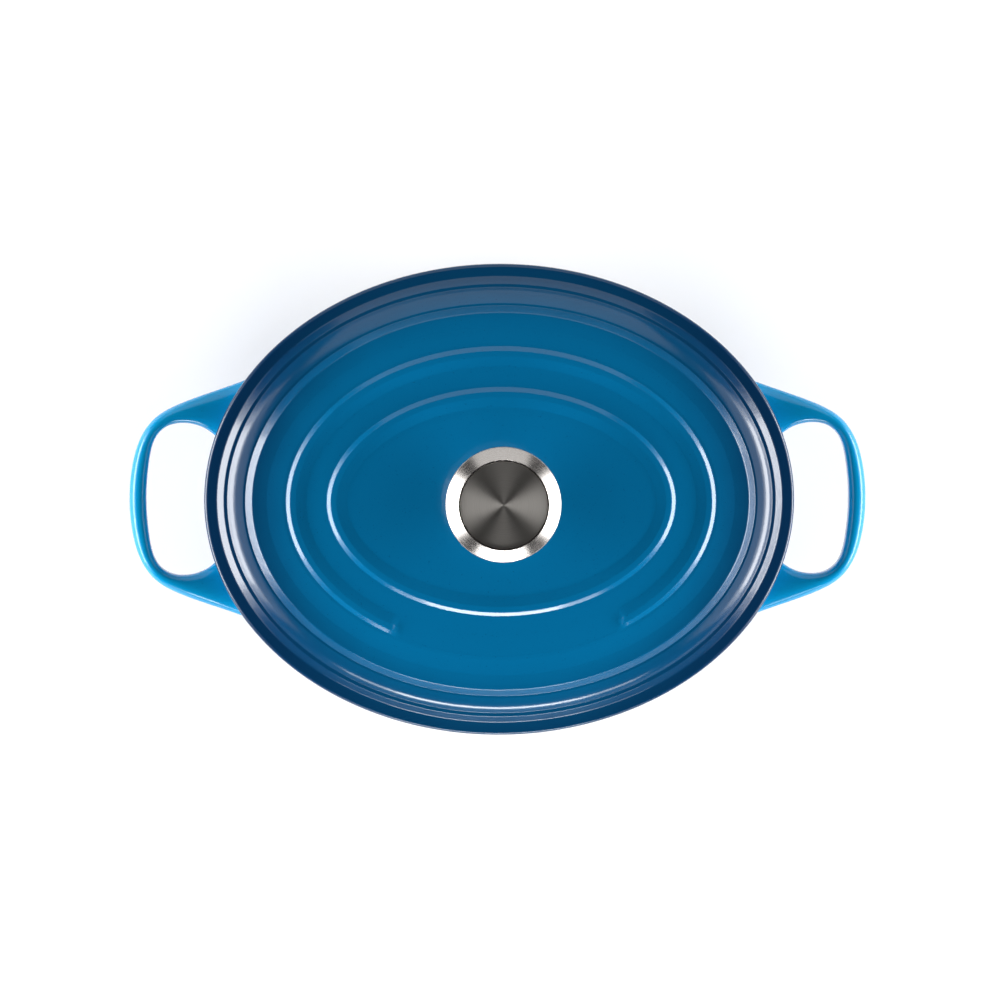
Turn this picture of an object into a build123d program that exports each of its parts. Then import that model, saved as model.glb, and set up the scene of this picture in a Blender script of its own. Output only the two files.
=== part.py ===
"""Oval enamelled cast iron dutch oven: a pot with two loop handles, and a stepped lid with a steel knob.

Millimetres. The origin is the middle of the flat foot that the pot stands on. +Z is up, X runs from handle to
handle and -Y is the front. Every oval is held at a constant inset from the lid's outer edge, so each casting
is one cross-section swept round the lid's edge line, plus a flat middle.
"""

import math
import os

from build123d import *

# ---------------------------------------------------------------- driving sizes
# Lid outline and pot
lid_length = 296.0
lid_width = 236.5
pot_height = 114.0
wall = 3.4
draft = 4.0  # degrees, each wall leans in towards the base
floor_thickness = 4.2
foot_recess = 0.8
foot_band = 9.0
foot_grind = 0.3  # taken off the casting to make its foot flat
outer_corner_radius = 26.0

# Rim of the pot
lid_overhang = 1.0
rim_width = 8.5
rim_height = 4.5
rim_bevel_drop = 3.6
rim_top_radius = 1.2
rim_foot_radius = 1.6
rim_root_radius = 3.0

# Loop handles
handle_projection = 37.5  # how far the bar's outermost point stands beyond the lid's edge
handle_thickness = 12.5
handle_bar = 8.2
handle_bow_radius = 93.0  # of the bar's outer face, seen from above
handle_bow_depth = 9.3  # from the bar's outermost point back to where the flanks meet the bow
handle_corner_radius = 30.0
handle_flank_half = 51.5  # half the width across the flanks at the lid's edge
handle_flare = 17.0  # degrees, each flank opens towards the pot
handle_tilt = 4.0  # degrees, up and away from the pot
handle_drop = 9.6  # from the rim's top down to the handle's top face at the wall
handle_edge_radius = 3.0
finger_gap_half = 38.3
finger_gap_bow_radius = 130.0
finger_gap_outer_share = 0.405  # radius of the gap's corners by the bar, as a share of its straight side
finger_gap_inner_share = 0.665  # radius of the gap's corners by the wall, likewise

# Lid casting
lid_seat_gap = 0.2
lid_thickness = 3.5
lip_depth = 5.0
lip_width = 3.6
lip_clearance = 0.9
lip_end_radius = 1.2
lip_root_radius = 0.6
lip_root_height = 1.5  # of the lip's inner root above the seat
underside_radius = 4.0
underside_upper_run = 0.7  # how much further in the underside turns than the top, in lid thicknesses
underside_lower_run = 1.5

# Steps of the lid's top, from the edge inwards: inset from the edge, height above the seat, corner radius
edge_foot = (0.0, 0.0, 1.0)
edge_top = (0.0, 5.2, 2.2)
band_end = (6.4, 5.7, 2.0)
first_riser_top = (9.9, 9.0, 1.2)
ledge_end = (11.7, 9.3, 0.8)
second_riser_bend = (14.7, 12.3, 12.0)
second_riser_top = (19.7, 14.3, 1.0)
trough_end = (20.8, 14.4, 0.6)
third_riser_top = (24.3, 18.0, 1.6)
terrace_end = (31.5, 18.2, 1.0)
dome_shoulder = (39.5, 19.8, 0.8)
middle_edge = (74.0, 22.0, 0)

# Two raised ribs on the lid's dome
rib_height = 1.6
rib_width = 10.0
rib_outer_run = 2.2  # of the steeper side, which faces the lid's edge
rib_inner_run = 5.0
rib_corner_radius = 1.2
outer_rib_inset = 41.0
inner_rib_inset = 61.2

# Knob and its fixings
knob_diameter = 57.0
knob_height = 30.0
knob_rim_band = 2.8
knob_rim_radius = 2.0
knob_bevel_height = 4.8
knob_bevel_radius = 1.6
knob_lip_radius = 0.4
knob_shell_wall = 1.6
cap_disc_diameter = 43.4
cap_disc_thickness = 1.4
cap_disc_chamfer = 0.4
cap_disc_recess = 0.5
cap_disc_gap = 0.3
cap_disc_ledge = 2.0
collar_diameter = 30.0
collar_height = 2.0
collar_edge_radius = 1.2
neck_diameter = 24.0
neck_height = 8.0
neck_taper = 1.2
neck_curve_radius = 9.0
insert_diameter = 15.0
insert_length = 16.0
insert_closed_end = 2.5
insert_edge_radius = 1.0
screw_diameter = 5.9
screw_length = 20.0
screw_tip_chamfer = 0.6
screw_head_diameter = 12.0
screw_head_height = 3.4
screw_head_radius = 1.5
slot_width = 1.6
slot_depth = 1.5
thread_clearance = 0.05
screw_hole_clearance = 0.5
flat_washer_diameter = 18.0
flat_washer_thickness = 1.2
flat_washer_radius = 0.4  # of its pressed lower edge
lock_washer_diameter = 11.4
lock_washer_thickness = 1.6
lock_washer_split = 1.0
lock_washer_split_turn = 35.0  # degrees
washer_bore_clearance = 0.2
fit_clearance = 0.05

# ---------------------------------------------------------------- worked-out sizes
half_length = lid_length / 2
half_width = lid_width / 2
draft_slope = math.tan(math.radians(draft))
lid_seat = pot_height + lid_seat_gap
crown = lid_seat + middle_edge[1]
crown_underside = crown - lid_thickness
screw_radius = screw_diameter / 2
screw_hole_radius = screw_radius + screw_hole_clearance
floor_top = foot_recess + floor_thickness
mouth_inset = lid_overhang + rim_width
wall_inset = mouth_inset - wall  # the wall's outer face at the rim's height
flat_overlap = 4.0  # how far a swept section reaches into a flat middle


def at(inset, height):
    """A point of a cross-section: inset from the lid's edge, at that height."""
    return (half_length - inset, height)


def rounded_outline(corners):
    """A closed outline through corners, each a point and its own radius."""
    points = [point for point, _ in corners]
    radii = [radius for _, radius in corners]
    return FilletPolyline(*points, radius=radii, close=True)


def oval_radii(inset):
    """The two radii of the oval at that inset from the lid's edge."""
    return (half_length - inset, half_width - inset)


def wall_inset_at(height):
    """Inset of the drafted wall's outer face at that height."""
    return wall_inset + (pot_height - height) * draft_slope


with BuildLine() as edge_line:
    EllipticalCenterArc((0, 0), half_length, half_width, arc_size=360)
lid_edge_path = edge_line.wires()[0]


# ---------------------------------------------------------------- pot casting
foot_outer = wall_inset_at(0) + outer_corner_radius
foot_inner = foot_outer + foot_band
pot_middle = foot_inner + foot_recess + flat_overlap
inner_corner = mouth_inset + (pot_height - floor_top) * draft_slope
rim_foot = pot_height - rim_height
rim_root = rim_foot - rim_bevel_drop

pot_section_points = [
    (at(mouth_inset, pot_height), rim_top_radius),
    (at(lid_overhang, pot_height), rim_top_radius),
    (at(lid_overhang, rim_foot), rim_foot_radius),
    (at(wall_inset_at(rim_root), rim_root), rim_root_radius),
    (at(wall_inset_at(-foot_grind), -foot_grind), outer_corner_radius),
    (at(foot_inner, -foot_grind), 0),
    (at(foot_inner + foot_recess, foot_recess), 0),
    (at(pot_middle, foot_recess), 0),
    (at(pot_middle, floor_top), 0),
    (at(inner_corner, floor_top), outer_corner_radius - wall),
]

# A handle from above: two flared flanks joined by a bowed bar, and a finger gap that ends inside the wall
reach = half_length + handle_projection
flank_slope = math.tan(math.radians(handle_flare))
root_x = half_length / 2  # deep inside the pot, and cut off at the wall
root_half = handle_flank_half + (half_length - root_x) * flank_slope
flank_end_x = reach - handle_bow_depth
flank_end_half = handle_flank_half - (flank_end_x - half_length) * flank_slope
gap_outer = reach - handle_bar
handle_bottom = pot_height - handle_drop - handle_thickness
root_inset = wall_inset_at(handle_bottom) + wall / 2
gap_inner = half_length - root_inset - wall / 2
gap_side_end = gap_outer - finger_gap_bow_radius + math.sqrt(finger_gap_bow_radius**2 - finger_gap_half**2)
gap_side = gap_side_end - gap_inner

handle_slant = Vector(math.cos(math.radians(handle_tilt)), 0, math.sin(math.radians(handle_tilt)))


def handle_plane(side):
    """The handle's tilted top plane, whose origin is on the Z axis, so that outline points keep their X."""
    wall_x = half_length - wall_inset
    x_dir = Vector(side * handle_slant.X, 0, handle_slant.Z)
    origin = Vector(side * wall_x, 0, pot_height - handle_drop) - x_dir * wall_x
    return Plane(origin=origin, x_dir=x_dir, z_dir=Vector(-side * handle_slant.Z, 0, handle_slant.X))


def bowed(radius, outermost, half_span):
    """A shallow arc across the handle's end, bulging out to the outermost point."""
    end_x = outermost - radius + math.sqrt(radius**2 - half_span**2)
    return ThreePointArc((end_x, half_span), (outermost, 0), (end_x, -half_span))


def make_handle(side):
    """One loop handle, cut off inside the thickness of the wall."""
    with BuildSketch() as outline:
        with BuildLine():
            bar = bowed(handle_bow_radius, reach, flank_end_half)
            Polyline(bar @ 1, (root_x, -root_half), (root_x, root_half), bar @ 0)
        make_face()
        fillet(outline.vertices().group_by(Axis.X)[-1], handle_corner_radius)
    with BuildSketch() as finger_gap:
        with BuildLine():
            gap_bow = bowed(finger_gap_bow_radius, gap_outer, finger_gap_half)
            Polyline(gap_bow @ 1, (gap_inner, -finger_gap_half), (gap_inner, finger_gap_half), gap_bow @ 0)
        make_face()
        fillet(finger_gap.vertices().group_by(Axis.X)[-1], finger_gap_outer_share * gap_side)
        fillet(finger_gap.vertices().group_by(Axis.X)[0], finger_gap_inner_share * gap_side)
    with BuildPart() as loop:
        with BuildSketch(handle_plane(side)):
            add(outline.sketch)
            add(finger_gap.sketch, mode=Mode.SUBTRACT)
        extrude(amount=-handle_thickness)
        flat_faces = loop.faces().filter_by(GeomType.PLANE).sort_by(SortBy.AREA)[-2:]
        fillet(flat_faces.edges().filter_by(Axis.Y, reverse=True), handle_edge_radius)
        with BuildSketch():
            Ellipse(*oval_radii(root_inset))
        extrude(amount=pot_height, mode=Mode.SUBTRACT)
    return loop.part


with BuildPart() as pot:
    with BuildSketch(Plane.XZ):
        with BuildLine():
            rounded_outline(pot_section_points)
        make_face()
    sweep(path=lid_edge_path)
    split(bisect_by=Plane.XY, keep=Keep.TOP)
    with BuildSketch(Plane.XY.offset(foot_recess)):
        Ellipse(*oval_radii(pot_middle - flat_overlap / 2))
    extrude(amount=floor_thickness)
    for side in (1, -1):
        add(make_handle(side))
pot.part.label = "pot_body"

# ---------------------------------------------------------------- lid casting
lip_outer = mouth_inset + lip_clearance
lip_inner = lip_outer + lip_width
lid_middle = middle_edge[0] + flat_overlap
dome_slope = (middle_edge[1] - dome_shoulder[1]) / (middle_edge[0] - dome_shoulder[0])


def step_corner(step):
    """A corner of the lid's section from one of its named steps."""
    inset, height, radius = step
    return (at(inset, lid_seat + height), radius)


def below(step, run, drop, radius):
    """A corner of the lid's underside, further in than a step of the top and that much below it."""
    return (at(step[0] + run, lid_seat + step[1] - drop), radius)


def on_dome(inset, rise=0.0):
    """A corner on the lid's shallow dome, or on a rib that rises from it."""
    height = dome_shoulder[1] + (inset - dome_shoulder[0]) * dome_slope
    return (at(inset, lid_seat + height + rise), rib_corner_radius)


def rib(inset):
    """The four corners of a raised rib that starts at that inset."""
    return [
        on_dome(inset),
        on_dome(inset + rib_outer_run, rib_height),
        on_dome(inset + rib_width - rib_inner_run, rib_height),
        on_dome(inset + rib_width),
    ]


outer_steps = [
    edge_foot,
    edge_top,
    band_end,
    first_riser_top,
    ledge_end,
    second_riser_bend,
    second_riser_top,
    trough_end,
    third_riser_top,
    terrace_end,
    dome_shoulder,
]
lid_top_points = [
    *[step_corner(step) for step in outer_steps],
    *rib(outer_rib_inset),
    *rib(inner_rib_inset),
    step_corner(middle_edge),
    (at(lid_middle, crown), 0),
]
lid_underside_points = [
    (at(lid_middle, crown_underside), 0),
    below(middle_edge, 0, lid_thickness, underside_radius),
    below(dome_shoulder, 0, lid_thickness, underside_radius),
    below(third_riser_top, underside_upper_run * lid_thickness, lid_thickness, underside_radius),
    below(ledge_end, underside_lower_run * lid_thickness, lid_thickness, underside_radius),
    (at(lip_inner, lid_seat + lip_root_height), underside_radius / 2),
    (at(lip_inner, lid_seat - lip_depth), lip_end_radius),
    (at(lip_outer, lid_seat - lip_depth), lip_end_radius),
    (at(lip_outer, lid_seat), lip_root_radius),
]
lid_section_points = lid_top_points + lid_underside_points

with BuildPart() as lid:
    with BuildSketch(Plane.XZ):
        with BuildLine():
            rounded_outline(lid_section_points)
        make_face()
    sweep(path=lid_edge_path)
    with BuildSketch(Plane.XY.offset(crown_underside)):
        Ellipse(*oval_radii(lid_middle - flat_overlap / 2))
    extrude(amount=lid_thickness)
    with Locations((0, 0, crown)):
        Hole(screw_hole_radius)
lid.part.label = "lid"

# ---------------------------------------------------------------- knob collar
collar_top = crown + collar_height

with BuildPart() as knob_collar:
    with BuildSketch(Plane.XY.offset(crown)):
        Circle(collar_diameter / 2)
        Circle(screw_hole_radius, mode=Mode.SUBTRACT)
    extrude(amount=collar_height)
    fillet(knob_collar.edges().group_by(Axis.Z)[-1].sort_by(SortBy.RADIUS)[-1], collar_edge_radius)
knob_collar.part.label = "knob_collar"

# ---------------------------------------------------------------- knob shell
knob_top = crown + knob_height
knob_radius = knob_diameter / 2
neck_radius = neck_diameter / 2
insert_radius = insert_diameter / 2
disc_radius = cap_disc_diameter / 2
recess_radius = disc_radius + cap_disc_gap
bevel_foot = knob_top - knob_bevel_height
ledge = knob_top - cap_disc_recess - cap_disc_thickness
cavity_radius = disc_radius - cap_disc_ledge
cavity_floor = collar_top + neck_height

shell_section_points = [
    ((insert_radius + fit_clearance, collar_top), 0),
    ((neck_radius, collar_top), knob_lip_radius),
    ((neck_radius - neck_taper, collar_top + neck_height), neck_curve_radius),
    ((knob_radius, bevel_foot - knob_rim_band), knob_rim_radius),
    ((knob_radius, bevel_foot), knob_bevel_radius),
    ((recess_radius + knob_lip_radius, knob_top), knob_lip_radius),
    ((recess_radius, knob_top - knob_lip_radius), 0),
    ((recess_radius, ledge), 0),
    ((cavity_radius, ledge), 0),
    ((cavity_radius, ledge - knob_shell_wall), 0),
    ((insert_radius + fit_clearance, cavity_floor), 0),
]

with BuildPart() as knob_shell:
    with BuildSketch(Plane.XZ):
        with BuildLine():
            rounded_outline(shell_section_points)
        make_face()
    revolve(axis=Axis.Z)
knob_shell.part.label = "knob_shell"

# ---------------------------------------------------------------- knob cap disc
with BuildPart() as knob_cap_disc:
    with BuildSketch(Plane.XY.offset(ledge)):
        Circle(disc_radius)
    extrude(amount=cap_disc_thickness)
    chamfer(knob_cap_disc.edges().group_by(Axis.Z)[-1], cap_disc_chamfer)
knob_cap_disc.part.label = "knob_cap_disc"

# ---------------------------------------------------------------- threaded insert
thread_radius = screw_radius + thread_clearance

with BuildPart() as knob_threaded_insert:
    with BuildSketch(Plane.XY.offset(collar_top)):
        Circle(insert_radius)
    extrude(amount=insert_length)
    fillet(knob_threaded_insert.edges().group_by(Axis.Z)[-1], insert_edge_radius)
    with BuildSketch(Plane.XY.offset(collar_top)):
        Circle(thread_radius)
    extrude(amount=insert_length - insert_closed_end, mode=Mode.SUBTRACT)
knob_threaded_insert.part.label = "knob_threaded_insert"

# ---------------------------------------------------------------- screw and washers
washer_bore = screw_radius + washer_bore_clearance
flat_washer_bottom = crown_underside - flat_washer_thickness
lock_washer_bottom = flat_washer_bottom - lock_washer_thickness
head_bottom = lock_washer_bottom - screw_head_height

with BuildPart() as flat_washer:
    with BuildSketch(Plane.XY.offset(flat_washer_bottom)):
        Circle(flat_washer_diameter / 2)
        Circle(washer_bore, mode=Mode.SUBTRACT)
    extrude(amount=flat_washer_thickness)
    fillet(flat_washer.edges().group_by(Axis.Z)[0].sort_by(SortBy.RADIUS)[-1], flat_washer_radius)
flat_washer.part.label = "flat_washer"

with BuildPart() as lock_washer:
    with BuildSketch(Plane.XY.offset(lock_washer_bottom)):
        Circle(lock_washer_diameter / 2)
        Circle(washer_bore, mode=Mode.SUBTRACT)
        with Locations((lock_washer_diameter / 4 + washer_bore / 2, 0)):
            Rectangle(
                lock_washer_diameter,
                lock_washer_split,
                rotation=lock_washer_split_turn,
                mode=Mode.SUBTRACT,
            )
    extrude(amount=lock_washer_thickness)
lock_washer.part.label = "lock_washer"

with BuildPart() as knob_screw:
    with BuildSketch(Plane.XY.offset(lock_washer_bottom)):
        Circle(screw_radius)
    extrude(amount=screw_length)
    chamfer(knob_screw.edges().group_by(Axis.Z)[-1], screw_tip_chamfer)
    with BuildSketch(Plane.XY.offset(head_bottom)):
        Circle(screw_head_diameter / 2)
    extrude(amount=screw_head_height)
    fillet(knob_screw.edges().group_by(Axis.Z)[0], screw_head_radius)
    with BuildSketch(Plane.XY.offset(head_bottom)):
        Rectangle(screw_head_diameter, slot_width)
    extrude(amount=slot_depth, mode=Mode.SUBTRACT)
knob_screw.part.label = "knob_screw"

# ---------------------------------------------------------------- write the parts
os.makedirs("parts", exist_ok=True)
pieces = [
    pot,
    lid,
    knob_collar,
    knob_shell,
    knob_cap_disc,
    knob_threaded_insert,
    flat_washer,
    lock_washer,
    knob_screw,
]
for piece in pieces:
    export_step(piece.part, f"parts/{piece.part.label}.step")
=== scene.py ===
"""Oval enamelled cast iron dutch oven, finished piece by piece in the order it is put together.

Lengths are in metres, and mm turns millimetres into them. X runs from handle to handle, -Y is the front and
+Z is up. A section outline is a list of corners, each (inset from the lid's edge, height, corner radius).
"""

import math

import bpy
from mathutils import Matrix, Vector


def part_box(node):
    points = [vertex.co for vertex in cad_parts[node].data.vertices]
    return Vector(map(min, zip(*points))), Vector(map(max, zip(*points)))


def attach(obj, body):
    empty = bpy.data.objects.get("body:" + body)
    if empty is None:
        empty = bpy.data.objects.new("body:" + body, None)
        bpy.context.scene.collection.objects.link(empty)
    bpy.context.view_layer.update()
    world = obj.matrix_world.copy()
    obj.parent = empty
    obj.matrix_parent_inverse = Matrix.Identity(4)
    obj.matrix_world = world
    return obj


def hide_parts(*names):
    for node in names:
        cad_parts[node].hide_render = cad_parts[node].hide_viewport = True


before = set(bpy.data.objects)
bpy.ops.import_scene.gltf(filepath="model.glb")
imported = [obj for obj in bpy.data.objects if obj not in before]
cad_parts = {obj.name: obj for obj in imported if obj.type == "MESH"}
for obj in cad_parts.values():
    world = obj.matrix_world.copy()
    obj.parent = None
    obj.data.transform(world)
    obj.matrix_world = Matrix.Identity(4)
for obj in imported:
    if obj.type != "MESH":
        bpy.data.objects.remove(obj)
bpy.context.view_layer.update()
mm = 0.001

# ---------------------------------------------------------------- the pot casting
# One sand-cast iron piece: oval walls with a slight draft, a rim bead, a ground foot and two loop handles.
# It is enamelled azure outside and cream inside, with a matt black rim. It is modelled as a quarter, with
# half a handle drawn out of its wall, and mirrored.
pot_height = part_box("pot_body")[1].z
lid_low, lid_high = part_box("lid")
edge_radius_x = lid_high.x
edge_radius_y = 118.25 * mm
lid_overhang = 1.0 * mm
mouth_inset = 9.5 * mm
wall = 3.4 * mm
draft = math.tan(math.radians(4.0))
wall_inset = mouth_inset - wall
floor_height = 5.0 * mm
foot_recess = 0.8 * mm
foot_band = 9.0 * mm
base_corner = 26.0 * mm
rim_height = 4.5 * mm
rim_root_drop = 8.1 * mm
rim_rounding = 1.2 * mm
rim_edge_rounding = rim_rounding * 0.98  # a little less, so that its arc starts above the block's top
bead_rounding = 1.5 * mm
bead_root_rounding = 1.4 * mm
block_lift = 1.6 * mm
pot_columns = 68
turn_step = math.radians(9)
nearly_level = 0.9  # a face counts as level when its normal points at least so far up or down
merge_distance = 0.02 * mm

handle_top = pot_height - 9.6 * mm
handle_bottom = handle_top - 12.5 * mm
handle_middle = (handle_top + handle_bottom) / 2
handle_tilt = math.tan(math.radians(4.0))
handle_tilt_start = 141.9 * mm
handle_root_angles = (math.radians(15), math.radians(35))
least_outward = 0.3  # how far the normal of a face that the handle grows from points along X
handle_roundness = 0.32
rounded_section = 1

# Rings of faces that hold the smoothed surface to its shape, down the walls and beside each edge
outer_ring_heights = (handle_top, handle_middle, handle_bottom, 85 * mm, 70 * mm, 50 * mm, 34 * mm)
inner_ring_heights = (108 * mm, 95 * mm, 75 * mm, 52 * mm, 36 * mm)
mouth_ring_drop = 2 * mm
foot_ring_step = 2 * mm
recess_ring_step = 3 * mm
floor_ring_step = 4 * mm

# Half a handle, from its root in the wall outwards. Each section is the finger gap's edge and the outer edge,
# as (X, Y) in millimetres.
handle_root = ((136.0, 28.7), (115.3, 63.7))
handle_sections = [
    ((140.4, 27.2), (123.6, 59.2)),
    ((144.4, 32.4), (133.0, 56.2)),
    ((149.6, 36.0), (143.5, 53.0)),
    ((155.5, 37.9), (153.6, 49.9)),
    ((161.6, 38.2), (162.6, 46.6)),
    ((167.0, 36.8), (169.9, 43.0)),
    ((171.6, 33.2), (176.0, 37.8)),
    ((174.5, 27.2), (180.9, 29.4)),
    ((175.9, 18.8), (183.6, 19.6)),
    ((177.0, 9.2), (185.1, 9.4)),
    ((177.3, 0.0), (185.5, 0.0)),
]


def rounded(corners):
    """The points (inset, height) of an outline, with each corner that has a radius turned into an arc."""
    points = []
    for index, (inset, height, radius) in enumerate(corners):
        corner = Vector((inset, height))
        if radius == 0:
            points.append(corner)
            continue
        back = (Vector(corners[index - 1][:2]) - corner).normalized()
        onward = (Vector(corners[index + 1][:2]) - corner).normalized()
        half_angle = back.angle(onward) / 2
        centre = corner + (back + onward).normalized() * radius / math.sin(half_angle)
        first_spoke = corner + back * radius / math.tan(half_angle) - centre
        last_spoke = corner + onward * radius / math.tan(half_angle) - centre
        sweep = first_spoke.angle_signed(last_spoke)
        steps = max(1, math.ceil(abs(sweep) / turn_step))
        for step in range(steps + 1):
            points.append(centre + Matrix.Rotation(-sweep * step / steps, 2) @ first_spoke)
    return points


def oval_block(name, inset, low, high, columns):
    """Starts a casting as a short oval cylinder."""
    bpy.ops.object.select_all(action="DESELECT")
    middle = (low + high) / 2
    bpy.ops.mesh.primitive_cylinder_add(vertices=columns, radius=1, depth=high - low, location=(0, 0, middle))
    oval = (edge_radius_x - inset, edge_radius_y - inset, 1)
    bpy.ops.transform.resize(value=oval, center_override=(0, 0, 0))
    bpy.ops.object.transform_apply(location=True, scale=True)
    bpy.context.object.name = name
    return bpy.context.object


def pick_faces(piece, wanted):
    """Selects the faces whose middle and normal pass a test, and leaves the piece in edit mode."""
    bpy.ops.object.mode_set(mode="EDIT")
    bpy.ops.mesh.select_mode(type="FACE")
    bpy.ops.mesh.select_all(action="DESELECT")
    bpy.ops.object.mode_set(mode="OBJECT")
    for face in piece.data.polygons:
        face.select = wanted(face.center, face.normal)
    bpy.ops.object.mode_set(mode="EDIT")


def walk_inwards(points, facing):
    """Insets the selected cap through (inset, height) points, ring by ring. Facing is 1 if it looks up."""
    for here, there in zip(points, points[1:]):
        run = max(there.x - here.x, 0)
        bpy.ops.mesh.inset(thickness=run, depth=facing * (there.y - here.y), use_even_offset=True)


def coat_selection(piece, slot):
    """Gives the selected faces a coat by its slot's number. What is later drawn out of them keeps it."""
    piece.active_material_index = slot
    bpy.ops.object.material_slot_assign()


def apply_modifier(piece, kind, **settings):
    """Adds a modifier to the piece and applies it."""
    bpy.ops.object.mode_set(mode="OBJECT")
    modifier = piece.modifiers.new(kind.title(), kind)
    for name, value in settings.items():
        setattr(modifier, name, value)
    bpy.ops.object.modifier_apply(modifier=modifier.name)


def wall_at(height):
    """Inset of the drafted wall's outer face at that height."""
    return wall_inset + (pot_height - height) * draft


def add_coats(piece, *coats):
    """Gives the piece a material slot for each coat, in order."""
    for coat in coats:
        piece.data.materials.append(coat)


class Value:
    """A shader value. Arithmetic on it adds Math nodes, and node() adds any other node to its material."""

    def __init__(self, tree, socket=None):
        self.tree = tree
        self.socket = socket

    def plug_into(self, socket, value):
        if isinstance(value, Value):
            self.tree.links.new(value.socket, socket)
        else:
            socket.default_value = value

    def node(self, kind, settings, sockets, output=0):
        """Adds a node of a kind, sets it up, and gives its sockets their values or links."""
        added = self.tree.nodes.new(kind)
        stops = settings.pop("stops", [])
        for name, setting in settings.items():
            setattr(added, name, setting)
        for index, (position, tint) in enumerate(stops):
            stop = added.color_ramp.elements[index] if index < 2 else added.color_ramp.elements.new(position)
            stop.position = position
            stop.color = tint
        for name, value in sockets.items():
            self.plug_into(added.inputs[name], value)
        return Value(self.tree, added.outputs[output])

    def math(self, operation, first, second):
        return self.node("ShaderNodeMath", {"operation": operation}, {0: first, 1: second})

    def __add__(self, other):
        return self.math("ADD", self, other)

    def __sub__(self, other):
        return self.math("SUBTRACT", self, other)

    def __rsub__(self, other):
        return self.math("SUBTRACT", other, self)

    def __mul__(self, other):
        return self.math("MULTIPLY", self, other)

    __radd__ = __add__
    __rmul__ = __mul__


def tint(red, green, blue):
    """A linear colour from 0 to 255 display values."""
    shares = [channel / 255 for channel in (red, green, blue)]
    linear = [share / 12.92 if share <= 0.04045 else ((share + 0.055) / 1.055) ** 2.4 for share in shares]
    return (*linear, 1)


black, white = tint(0, 0, 0), tint(255, 255, 255)


def new_finish(name, **constants):
    """Starts a material: its shader, with the sockets that stay the same all over it, and a bare value."""
    material = bpy.data.materials.new(name)
    material.use_nodes = True
    shader = material.node_tree.nodes["Principled BSDF"]
    for socket, constant in constants.items():
        shader.inputs[socket.replace("_", " ")].default_value = constant
    return material, shader, Value(material.node_tree)


def noise(place, size, detail=2):
    """Even noise from 0 to 1, whose grains are about that size in metres."""
    return place.node("ShaderNodeTexNoise", {}, {"Vector": place, "Scale": 1 / size, "Detail": detail})


def ramp(value, *stops):
    return value.node("ShaderNodeValToRGB", {"stops": stops}, {0: value})


def mixed(first, second, share):
    """One colour laid over another by a share that varies over the surface."""
    return share.node("ShaderNodeMix", {"data_type": "RGBA"}, {0: share, 6: first, 7: second}, output=2)


mottle_size = 22 * mm
mottled_roughness = 0.05
wide_peel, fine_peel = 3.2 * mm, 0.9 * mm
wide_share, fine_share = 0.75, 0.25
speck_size = 0.7 * mm
speck_edges = (0.76, 0.84)
speck_strength = 0.35


def enamel(name, colour_at, speck_tint, roughness, ripple):
    """Vitreous enamel: fused glass, faintly rippled like orange peel, mottled and strewn with fine specks."""
    material, shader, start = new_finish(name, IOR=1.5)
    place = start.node("ShaderNodeTexCoord", {}, {}, output="Object")
    mottle = noise(place, mottle_size, detail=3)
    peel = noise(place, wide_peel) * wide_share + noise(place, fine_peel) * fine_share
    grains = noise(place, speck_size, detail=0)
    specks = ramp(grains, (0.0, black), (speck_edges[0], black), (speck_edges[1], white))
    colour = mixed(colour_at(place, mottle), speck_tint, specks * speck_strength)
    start.plug_into(shader.inputs["Base Color"], colour)
    start.plug_into(shader.inputs["Roughness"], mottle * mottled_roughness + roughness)
    bump = start.node("ShaderNodeBump", {}, {"Strength": 1.0, "Distance": ripple, "Height": peel})
    start.plug_into(shader.inputs["Normal"], bump)
    return material


pot_drift = 8 * mm


def pot_azure(place, mottle):
    """Sprayed azure at the handles, which deepens to navy down the wall."""
    height = place.node("ShaderNodeSeparateXYZ", {}, {0: place}, output="Z") + (mottle - 0.5) * pot_drift
    return ramp(
        height * (1 / pot_height),
        (0.0, tint(3, 30, 64)),
        (0.3, tint(2, 42, 84)),
        (0.6, tint(2, 72, 120)),
        (0.84, tint(3, 136, 188)),
    )


def flat_tint(first, second):
    """A colour that only the mottle varies, between two close tints."""
    return lambda place, mottle: mixed(first, second, mottle)


navy_speck = tint(2, 30, 66)
azure_enamel = enamel("azure_enamel", pot_azure, navy_speck, roughness=0.13, ripple=0.035 * mm)
cream_tints = flat_tint(tint(226, 214, 188), tint(236, 226, 204))
cream_enamel = enamel("cream_enamel", cream_tints, tint(160, 132, 98), roughness=0.16, ripple=0.04 * mm)
black_tints = flat_tint(tint(30, 30, 32), tint(40, 40, 42))
black_enamel = enamel("black_enamel", black_tints, tint(96, 96, 98), roughness=0.5, ripple=0.12 * mm)

rim_foot = pot_height - rim_height
rim_root = pot_height - rim_root_drop
block_top = pot_height - rim_rounding
block_foot = rim_foot + block_lift
inner_base_inset = mouth_inset + (pot_height - floor_height) * draft
foot_outer = wall_at(0) + base_corner
foot_inner = foot_outer + foot_band
outside = [
    (lid_overhang, block_foot, 0),
    (lid_overhang, rim_foot, bead_rounding),
    (wall_at(rim_root), rim_root, bead_root_rounding),
    *[(wall_at(height), height, 0) for height in outer_ring_heights],
    (wall_at(0), 0, base_corner),
    (foot_outer + foot_ring_step, 0, 0),
    (foot_inner - foot_ring_step, 0, 0),
    (foot_inner, 0, 0),
    (foot_inner + foot_recess, foot_recess, 0),
    (foot_inner + recess_ring_step, foot_recess, 0),
]
mouth_ring = (mouth_inset + mouth_ring_drop * draft, pot_height - mouth_ring_drop, 0)
rim = [
    (lid_overhang, block_top, 0),
    (lid_overhang, pot_height, rim_edge_rounding),
    (mouth_inset, pot_height, rim_rounding),
    mouth_ring,
]
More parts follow.
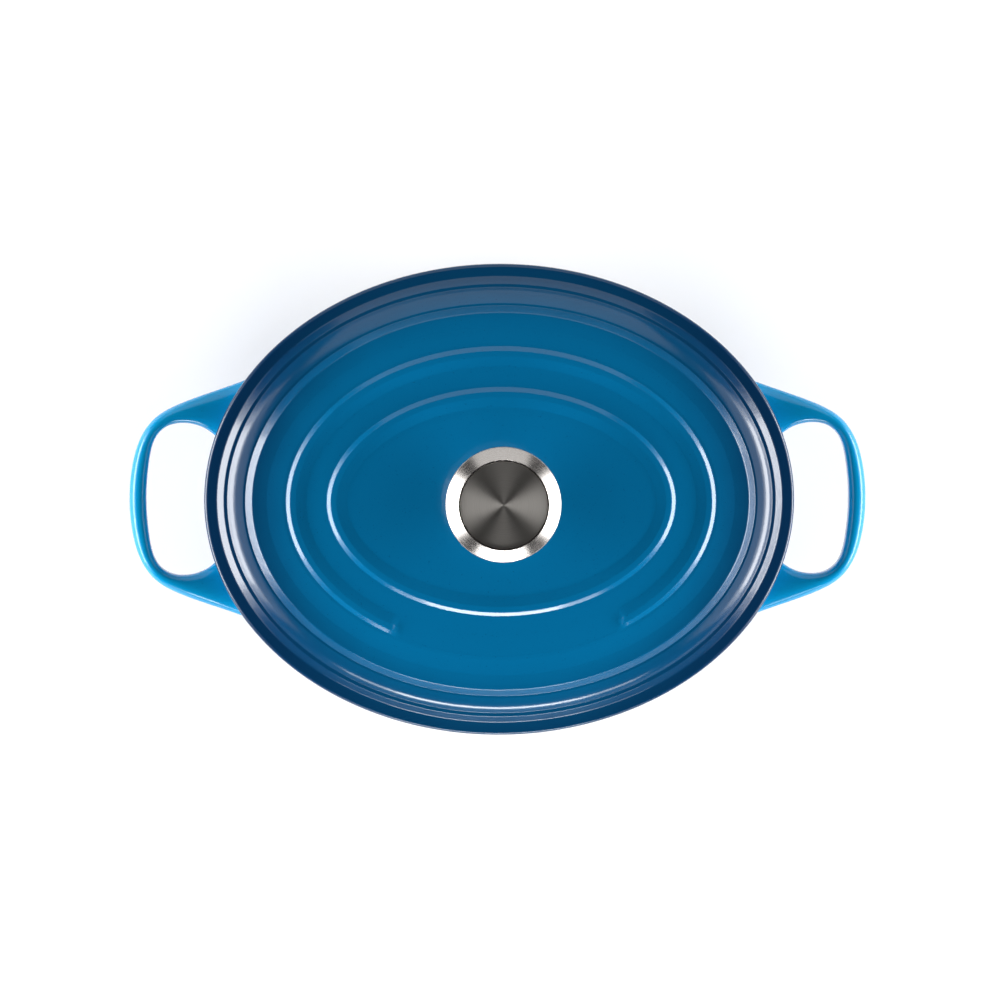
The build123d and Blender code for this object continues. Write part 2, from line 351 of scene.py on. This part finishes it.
inside = [
    mouth_ring,
    *[(wall_at(height) + wall, height, 0) for height in inner_ring_heights],
    (inner_base_inset, floor_height, base_corner - wall),
    (inner_base_inset + base_corner + floor_ring_step, floor_height, 0),
]

pot = oval_block("pot", lid_overhang, block_foot, block_top, pot_columns)
add_coats(pot, azure_enamel, black_enamel, cream_enamel)
pick_faces(pot, lambda middle, normal: normal.z < -nearly_level)
walk_inwards(rounded(outside), -1)
pick_faces(pot, lambda middle, normal: normal.z > nearly_level and middle.z > block_foot)
coat_selection(pot, 1)
walk_inwards(rounded(rim), 1)
coat_selection(pot, 2)
walk_inwards(rounded(inside), 1)

# Cut down to the quarter with positive X and Y
bpy.ops.mesh.select_all(action="SELECT")
bpy.ops.mesh.bisect(plane_co=(0, 0, 0), plane_no=(1, 0, 0), clear_inner=True)
bpy.ops.mesh.select_all(action="SELECT")
bpy.ops.mesh.bisect(plane_co=(0, 0, 0), plane_no=(0, 1, 0), clear_inner=True)


def in_handle_root(middle, normal):
    """True for the outer faces of the wall that half a handle grows from."""
    angle = math.atan2(middle.y / (edge_radius_y - wall_inset), middle.x / (edge_radius_x - wall_inset))
    in_band = normal.x > least_outward and handle_bottom < middle.z < handle_top
    return in_band and handle_root_angles[0] < angle < handle_root_angles[1]


def round_end(pivot, along, half_width):
    """Bows the upper and lower rows of the handle's selected end towards its middle, most at both edges."""
    bpy.ops.object.mode_set(mode="OBJECT")
    for vertex in pot.data.vertices:
        if vertex.select:
            across_share = abs((vertex.co - Vector(pivot)).xy.dot(along)) / half_width
            vertex.co.z += (pivot[2] - vertex.co.z) * handle_roundness * across_share**3
    bpy.ops.object.mode_set(mode="EDIT")


pick_faces(pot, in_handle_root)
gap_edge, outer_edge = (Vector(corner) for corner in handle_root)
for number, section in enumerate(handle_sections):
    next_gap_edge, next_outer_edge = (Vector(corner) for corner in section)
    here = (gap_edge + outer_edge) / 2 * mm
    there = (next_gap_edge + next_outer_edge) / 2 * mm
    across, next_across = outer_edge - gap_edge, next_outer_edge - next_gap_edge
    step = there - here
    rise = step.x * handle_tilt
    bpy.ops.mesh.extrude_region_move(TRANSFORM_OT_translate={"value": (step.x, step.y, rise)})
    height = handle_middle + (there.x - handle_tilt_start) * handle_tilt
    pivot = (there.x, there.y, height)
    turn = across.angle_signed(next_across)
    bpy.ops.transform.rotate(value=turn, orient_axis="Z", center_override=pivot)
    along = next_across.normalized()
    axes = Matrix(((along.x, along.y, 0), (-along.y, along.x, 0), (0, 0, 1))).transposed()
    bpy.ops.transform.resize(
        value=(next_across.length / across.length, 0, 1),
        orient_type="GLOBAL",
        orient_matrix=axes,
        orient_matrix_type="GLOBAL",
        center_override=pivot,
    )
    if number == rounded_section:
        round_end(pivot, along, next_across.length / 2 * mm)
    gap_edge, outer_edge = next_gap_edge, next_outer_edge
bpy.ops.mesh.delete(type="FACE")
apply_modifier(pot, "MIRROR", use_axis=(True, True, False), merge_threshold=merge_distance)
apply_modifier(pot, "SUBSURF", levels=2, render_levels=2)
bpy.ops.object.shade_smooth()
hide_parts("pot_body")
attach(pot, "pot")

# ---------------------------------------------------------------- the lid casting
# One sand-cast iron piece: a rolled edge, three rounded steps, and a shallow dome with two raised ribs and a
# flat middle for the knob. The outer rib stops short at the front. A lip underneath keeps the lid on the rim.
# It is enamelled azure on top and cream underneath, with matt black where it sits on the rim.
seat_gap = 0.2 * mm
lid_seat = pot_height + seat_gap
lid_thickness = 3.5 * mm
lip_gap = 0.9 * mm
lip_width = 3.6 * mm
lip_outer = mouth_inset + lip_gap
lip_inner = lip_outer + lip_width
lip_rounding = 1.2 * mm
lip_root_rounding = 0.6 * mm
lip_hollow_height = 1.5 * mm
lip_hollow_rounding = 2 * mm
lip_coat_end = 1 * mm
edge_foot_rounding = 1 * mm
hollow_rounding = 4 * mm
ledge_run, riser_run = 5.2 * mm, 2.4 * mm  # how much further in the hollow's first two bends lie
lid_columns = 384
lid_crease_angle = math.radians(40)
screw_hole_radius = 3.45 * mm

# Steps of the lid's top, from the edge inwards, with heights above the seat, in millimetres. The lid is made
# from a block between two of those heights.
block_low, block_high = 1.2, 2.8
edge_top = (0.0, 5.2, 2.2)
band_end = (6.4, 5.7, 2.0)
first_riser_top = (9.9, 9.0, 1.2)
ledge_end = (11.7, 9.3, 0.8)
second_riser_bend = (14.7, 12.3, 12.0)
second_riser_top = (19.7, 14.3, 1.0)
trough_end = (20.8, 14.4, 0.6)
third_riser_top = (24.3, 18.0, 1.6)
terrace_end = (31.5, 18.2, 1.0)
dome_shoulder = (39.5, 19.8, 0.8)
middle_edge = (74.0, 22.0, 6.0)
middle_ring = (75.5, 22.0, 0.0)
dome_slope = (middle_edge[1] - dome_shoulder[1]) / (middle_edge[0] - dome_shoulder[0])
rib_height, rib_width, rib_outer_run, rib_inner_run, rib_rounding = 1.6, 10.0, 2.2, 5.0, 1.2
outer_rib_inset, inner_rib_inset = 41.0, 61.2
crown = lid_seat + middle_edge[1] * mm
crown_underside = crown - lid_thickness
rib_gap = (-55 * mm, 62 * mm)
rib_end_length = 3.2 * mm


def dome_height(inset):
    """Height above the seat, in millimetres, of the shallow dome at that inset."""
    return dome_shoulder[1] + (inset - dome_shoulder[0]) * dome_slope


def rib(inset):
    """The four corners of a raised rib that starts at that inset."""
    far_side = inset + rib_width
    return [
        (inset, dome_height(inset), rib_rounding),
        (inset + rib_outer_run, dome_height(inset + rib_outer_run) + rib_height, rib_rounding),
        (far_side - rib_inner_run, dome_height(far_side - rib_inner_run) + rib_height, rib_rounding),
        (far_side, dome_height(far_side), rib_rounding),
    ]


def on_seat(steps):
    """Corners in metres from steps given in millimetres above the lid's seat."""
    return [(inset * mm, lid_seat + height * mm, radius * mm) for inset, height, radius in steps]


def below(step, run=0):
    """A corner of the lid's hollow, the lid's thickness below a step of the top and that far inside it."""
    return (step[0] * mm + run, lid_seat + step[1] * mm - lid_thickness, hollow_rounding)


lid_block = (lid_seat + block_low * mm, lid_seat + block_high * mm)
lid_top = on_seat([
    (0, block_high, 0),
    edge_top,
    band_end,
    first_riser_top,
    ledge_end,
    second_riser_bend,
    second_riser_top,
    trough_end,
    third_riser_top,
    terrace_end,
    dome_shoulder,
    *rib(outer_rib_inset),
    *rib(inner_rib_inset),
    middle_edge,
    middle_ring,
])
lid_underside = [
    (0, lid_block[0], 0),
    (0, lid_seat, edge_foot_rounding),
    (lip_outer, lid_seat, lip_root_rounding),
    (lip_outer, lid_low.z, lip_rounding),
    (lip_inner, lid_low.z, lip_rounding),
    (lip_inner, lid_seat + lip_hollow_height, lip_hollow_rounding),
    below(ledge_end, ledge_run),
    below(third_riser_top, riser_run),
    below(dome_shoulder),
    below(middle_edge),
    (middle_ring[0] * mm, crown_underside, 0),
]

lid_drift = 6 * mm
azure_radius, navy_radius, navy_end_share = 88 * mm, 142 * mm, 0.1
azure_inset, navy_edge_share = 40 * mm, 0.4


def climb(value, low, high, low_share=0.0):
    """Climbs smoothly to 1 as a value goes from low to high, and starts at low_share."""
    limits = {"From Min": low, "From Max": high, "To Min": low_share, "To Max": 1.0}
    return value.node("ShaderNodeMapRange", {"interpolation_type": "SMOOTHSTEP"}, {"Value": value, **limits})


def lid_azure(place, mottle):
    """Azure sprayed on the middle, which thins out to navy at the edge steps and towards the long ends."""
    flat_place = place.node("ShaderNodeVectorMath", {"operation": "MULTIPLY"}, {0: place, 1: (1, 1, 0)})
    radius = place.node("ShaderNodeVectorMath", {"operation": "LENGTH"}, {0: flat_place}, output="Value")
    inset = place.node("ShaderNodeAttribute", {"attribute_name": "inset"}, {}, output="Fac")
    drift = (mottle - 0.5) * lid_drift
    from_ends = climb(radius * -1 + drift, -navy_radius, -azure_radius, navy_end_share)
    from_edge = climb(inset + drift * 0.5, 0.0, azure_inset, navy_edge_share)
    return mixed(tint(4, 38, 72), tint(1, 100, 147), from_ends * from_edge)


lid_enamel = enamel("lid_azure_enamel", lid_azure, navy_speck, roughness=0.13, ripple=0.035 * mm)

lid = oval_block("lid_casting", 0, *lid_block, lid_columns)
add_coats(lid, lid_enamel, black_enamel, cream_enamel)
pick_faces(lid, lambda middle, normal: normal.z > nearly_level)
walk_inwards(rounded(lid_top), 1)
pick_faces(lid, lambda middle, normal: normal.z < -nearly_level and middle.z < lid_block[1])
underside_points = rounded(lid_underside)
lip_end = next(index for index, point in enumerate(underside_points) if point.x > lip_inner - lip_coat_end)
walk_inwards(underside_points[:2], -1)
coat_selection(lid, 1)
walk_inwards(underside_points[1 : lip_end + 1], -1)
coat_selection(lid, 2)
walk_inwards(underside_points[lip_end:], -1)


same_height = 0.01 * mm
middle_reach = 1 * mm


def bridge_open_edges(piece, wanted_heights):
    """Joins the two rings of open edges that lie at the wanted heights."""
    bpy.ops.mesh.select_mode(type="EDGE")
    bpy.ops.mesh.select_all(action="DESELECT")
    bpy.ops.mesh.select_non_manifold()
    bpy.ops.object.mode_set(mode="OBJECT")
    for edge in piece.data.edges:
        height = piece.data.vertices[edge.vertices[0]].co.z
        edge.select = edge.select and any(abs(height - level) < same_height for level in wanted_heights)
    bpy.ops.object.mode_set(mode="EDIT")
    bpy.ops.mesh.bridge_edge_loops()


# The screw's hole through the middle: both flat middles are opened and joined to two rings of the hole
pick_faces(lid, lambda middle, normal: abs(normal.z) > nearly_level and middle.xy.length < middle_reach)
bpy.ops.mesh.delete(type="ONLY_FACE")
for level in (crown, crown_underside):
    bpy.ops.mesh.primitive_circle_add(vertices=lid_columns, radius=screw_hole_radius, location=(0, 0, level))
    bridge_open_edges(lid, [level])
bridge_open_edges(lid, [crown, crown_underside])
bpy.ops.mesh.select_all(action="SELECT")
bpy.ops.mesh.normals_make_consistent(inside=False)
bpy.ops.object.mode_set(mode="OBJECT")


nearest_point_steps = 3
least_length = 1e-9


def inset_of(point):
    """How far a point lies inside the lid's edge. It closes in on the nearest point of the edge's ellipse."""
    wide, deep = edge_radius_x, edge_radius_y
    x, y = abs(point.x), abs(point.y)
    along = Vector((1, 1)).normalized()
    for _ in range(nearest_point_steps):
        evolute_x = (wide**2 - deep**2) * along.x**3 / wide
        evolute_y = (deep**2 - wide**2) * along.y**3 / deep
        reach = math.hypot(wide * along.x - evolute_x, deep * along.y - evolute_y)
        share = reach / max(math.hypot(x - evolute_x, y - evolute_y), least_length)
        along.x = min(max(((x - evolute_x) * share + evolute_x) / wide, 0), 1)
        along.y = min(max(((y - evolute_y) * share + evolute_y) / deep, 0), 1)
        along.normalize()
    return math.hypot(wide * along.x - x, deep * along.y - y)


# The outer rib slopes down at both sides of a gap at the front and is pressed flat between them
gap_group = lid.vertex_groups.new(name="rib_gap")
insets = [inset_of(vertex.co) for vertex in lid.data.vertices]
for vertex, inset in zip(lid.data.vertices, insets):
    on_rib = outer_rib_inset * mm < inset < (outer_rib_inset + rib_width) * mm
    if on_rib and vertex.co.y < 0 and vertex.co.z > crown_underside:
        height_on_dome = vertex.co.z - lid_seat - dome_height(inset / mm) * mm
        past_end = min(vertex.co.x - rib_gap[0], rib_gap[1] - vertex.co.x) / rib_end_length
        fade = min(max(past_end, 0), 1)
        weight = height_on_dome / (rib_height * mm) * fade * fade * (3 - 2 * fade)
        gap_group.add([vertex.index], weight, "REPLACE")
lid.data.attributes.new("inset", "FLOAT", "POINT").data.foreach_set("value", insets)
press = {"vertex_group": "rib_gap", "direction": "Z", "mid_level": 0, "strength": -rib_height * mm}
apply_modifier(lid, "DISPLACE", **press)
bpy.ops.object.shade_smooth_by_angle(angle=lid_crease_angle)
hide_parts("lid")
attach(lid, "lid")

# ---------------------------------------------------------------- the knob
# A spun and turned stainless steel knob on a thin collar. A flat disc, turned in fine rings, is pressed into
# its top and leaves a hairline groove. All of it is round, so each piece is a section spun on a lathe.
collar_height = 2 * mm
collar_radius = 15 * mm
collar_rounding = 1.2 * mm
knob_foot = crown + collar_height
knob_top = crown + 30 * mm
knob_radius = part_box("knob_shell")[1].x
knob_foot_radius = 12 * mm
knob_foot_rounding = 0.4 * mm
neck_radius = 10.8 * mm
neck_height = 8 * mm
neck_rounding = 9 * mm
belly_drop = 2.8 * mm
belly_rounding = 2 * mm
bevel_foot = knob_top - 4.8 * mm
bevel_rounding = 1.6 * mm
core_radius = 7.5 * mm
core_gap = 0.05 * mm
disc_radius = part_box("knob_cap_disc")[1].x
disc_seat = knob_top - 1.9 * mm
disc_top = disc_seat + 1.4 * mm
disc_rounding = 0.4 * mm
disc_narrowing = 0.3 * mm
recess_radius = disc_radius + 0.5 * mm
recess_edge = 0.06 * mm
recess_ledge = 2 * mm
cavity_drop = 1.6 * mm
lathe_steps = 192
lathe_merge_distance = 0.002 * mm
turned_crease_angle = math.radians(30)
ring_size, ring_depth, ring_roughness = 0.12 * mm, 0.002 * mm, 0.1
smear_size, smear_roughness = 6 * mm, 0.08


def turned_steel(name, bare_tint, ring_tint, roughness, anisotropy):
    """Stainless steel turned on a lathe: fine rings about the Z axis, which spread highlights into a fan."""
    constants = {"Metallic": 1.0, "Anisotropic": anisotropy, "Anisotropic_Rotation": 0.25}
    material, shader, start = new_finish(name, **constants)
    place = start.node("ShaderNodeTexCoord", {}, {}, output="Object")
    flat_place = start.node("ShaderNodeVectorMath", {"operation": "MULTIPLY"}, {0: place, 1: (1, 1, 0)})
    radius = start.node("ShaderNodeVectorMath", {"operation": "LENGTH"}, {0: flat_place}, output="Value")
    height = start.node("ShaderNodeSeparateXYZ", {}, {0: place}, output="Z")
    ring_place = start.node("ShaderNodeCombineXYZ", {}, {0: radius, 1: height, 2: 0.0})
    rings = noise(ring_place, ring_size, detail=3)
    smears = noise(place, smear_size, detail=4)
    start.plug_into(shader.inputs["Base Color"], mixed(bare_tint, ring_tint, rings))
    start.plug_into(shader.inputs["Roughness"], rings * ring_roughness + smears * smear_roughness + roughness)
    bump = start.node("ShaderNodeBump", {}, {"Strength": 1.0, "Distance": ring_depth, "Height": rings})
    start.plug_into(shader.inputs["Normal"], bump)
    return material


bright_tints = (tint(205, 200, 196), tint(184, 180, 176))
bright_steel = turned_steel("bright_steel", *bright_tints, roughness=0.17, anisotropy=0.55)
dark_tints = (tint(160, 157, 153), tint(126, 123, 119))
dark_steel = turned_steel("dark_turned_steel", *dark_tints, roughness=0.42, anisotropy=0.9)


def turned(name, corners, body, coat):
    """Spins a closed section about the Z axis. Its corners are each (radius, height, rounding)."""
    outline = rounded([*corners, corners[0]])
    first_point = (outline[0].x, 0, outline[0].y)
    bpy.ops.object.select_all(action="DESELECT")
    bpy.ops.mesh.primitive_plane_add(size=1 * mm, location=first_point, enter_editmode=True)
    piece = bpy.context.object
    piece.name = name
    bpy.ops.mesh.merge(type="CENTER")
    bpy.ops.mesh.select_mode(type="VERT")
    bpy.ops.mesh.select_all(action="SELECT")
    for here, there in zip(outline, outline[1:]):
        step = (there.x - here.x, 0, there.y - here.y)
        bpy.ops.mesh.extrude_region_move(TRANSFORM_OT_translate={"value": step})
    bpy.ops.mesh.select_all(action="SELECT")
    bpy.ops.mesh.spin(steps=lathe_steps, angle=2 * math.pi, center=(0, 0, 0), axis=(0, 0, 1))
    bpy.ops.mesh.select_all(action="SELECT")
    bpy.ops.mesh.remove_doubles(threshold=lathe_merge_distance)
    bpy.ops.mesh.delete_loose(use_verts=True, use_edges=True, use_faces=False)
    bpy.ops.mesh.select_all(action="SELECT")
    bpy.ops.mesh.normals_make_consistent(inside=False)
    bpy.ops.object.mode_set(mode="OBJECT")
    bpy.ops.object.transform_apply(location=True)
    bpy.ops.object.shade_smooth_by_angle(angle=turned_crease_angle)
    add_coats(piece, coat)
    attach(piece, body)
    return piece


collar = turned(
    "knob_collar_ring",
    [
        (screw_hole_radius, crown, 0),
        (collar_radius, crown, 0),
        (collar_radius, knob_foot, collar_rounding),
        (screw_hole_radius, knob_foot, 0),
    ],
    "lid",
    bright_steel,
)
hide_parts("knob_collar")

shell = turned(
    "knob_body",
    [
        (core_radius + core_gap, knob_foot, 0),
        (knob_foot_radius, knob_foot, knob_foot_rounding),
        (neck_radius, knob_foot + neck_height, neck_rounding),
        (knob_radius, bevel_foot - belly_drop, belly_rounding),
        (knob_radius, bevel_foot, bevel_rounding),
        (recess_radius + recess_edge, knob_top, 0),
        (recess_radius, knob_top - recess_edge, 0),
        (recess_radius, disc_seat, 0),
        (disc_radius - recess_ledge, disc_seat, 0),
        (disc_radius - recess_ledge, disc_seat - cavity_drop, 0),
        (core_radius + core_gap, knob_foot + neck_height, 0),
    ],
    "lid",
    bright_steel,
)
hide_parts("knob_shell")

cap_disc = turned(
    "knob_disc",
    [
        (0, disc_seat, 0),
        (disc_radius - disc_narrowing, disc_seat, 0),
        (disc_radius - disc_narrowing, disc_top, disc_rounding),
        (0, disc_top, 0),
    ],
    "lid",
    dark_steel,
)
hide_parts("knob_cap_disc")

# ---------------------------------------------------------------- the knob's fixings
# A threaded insert in the knob's core, and a screw that comes up through the lid from below with its two
# washers. The solids are shown as they are, in machined steel.
fixing_tints = (tint(196, 192, 186), tint(172, 168, 162))
fixing_steel = turned_steel("fixing_steel", *fixing_tints, roughness=0.26, anisotropy=0.4)
for node_name in ("knob_threaded_insert", "flat_washer", "lock_washer", "knob_screw"):
    for material_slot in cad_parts[node_name].material_slots:
        material_slot.material = fixing_steel

# ---------------------------------------------------------------- the studio
# A white table with lamps round it. Each side has a soft box within two wider, fainter glows, the front has a
# narrow strip light within a wider glow, and the back has a dim panel.
bpy.ops.object.select_all(action="DESELECT")
bpy.ops.mesh.primitive_plane_add(size=4, location=(0, 0, 0))
table = bpy.context.object
table.name = "table"
table_finish, table_shader, _ = new_finish("white_table", Base_Color=(0.95, 0.95, 0.95, 1), Roughness=0.7)
table_shader.inputs["Specular IOR Level"].default_value = 0.2
table.data.materials.append(table_finish)


def soft_box(name, bearing, elevation, distance, width, height, power):
    """A lamp that faces the pot's lid. Its bearing runs anticlockwise from +X, and angles are in degrees."""
    turn, lift = math.radians(bearing), math.radians(elevation)
    aim = Vector((math.cos(turn) * math.cos(lift), math.sin(turn) * math.cos(lift), math.sin(lift)))
    bpy.ops.object.light_add(type="AREA", location=aim * distance + Vector((0, 0, pot_height)))
    lamp = bpy.context.object
    lamp.name = name
    lamp.data.shape = "RECTANGLE"
    lamp.data.size = width
    lamp.data.size_y = height
    lamp.data.energy = power
    lamp.rotation_euler = aim.to_track_quat("Z", "Y").to_euler()


for side, bearing in (("left", 184), ("right", -4)):
    soft_box(side + "_box", bearing, elevation=10, distance=1.5, width=1.5, height=0.5, power=26)
    soft_box(side + "_inner_glow", bearing, elevation=14, distance=1.55, width=1.95, height=0.8, power=16)
    soft_box(side + "_outer_glow", bearing, elevation=23, distance=1.6, width=2.4, height=1.4, power=14)
soft_box("front_strip", bearing=-90, elevation=12, distance=1.5, width=0.9, height=0.2, power=9)
soft_box("front_glow", bearing=-90, elevation=12, distance=1.55, width=1.6, height=0.22, power=8)
soft_box("back_panel", bearing=90, elevation=28, distance=1.5, width=1.9, height=1.3, power=7.5)

world = bpy.data.worlds.new("studio_air")
world.use_nodes = True
world.node_tree.nodes["Background"].inputs["Color"].default_value = (0.02, 0.02, 0.022, 1)
bpy.context.scene.world = world

camera_place = Vector((-0.075, 0.10, 2.0))
camera_target = Vector((0, 0, 0.117))
bpy.ops.object.camera_add(location=camera_place)
camera = bpy.context.object
camera.data.lens = 135.5
sight = (camera_target - camera_place).normalized()
across = sight.cross(Vector((0, 1, 0))).normalized()
camera.rotation_euler = Matrix((across, across.cross(sight), -sight)).transposed().to_euler()
bpy.context.scene.camera = camera
bpy.context.scene.view_settings.view_transform = "Standard"
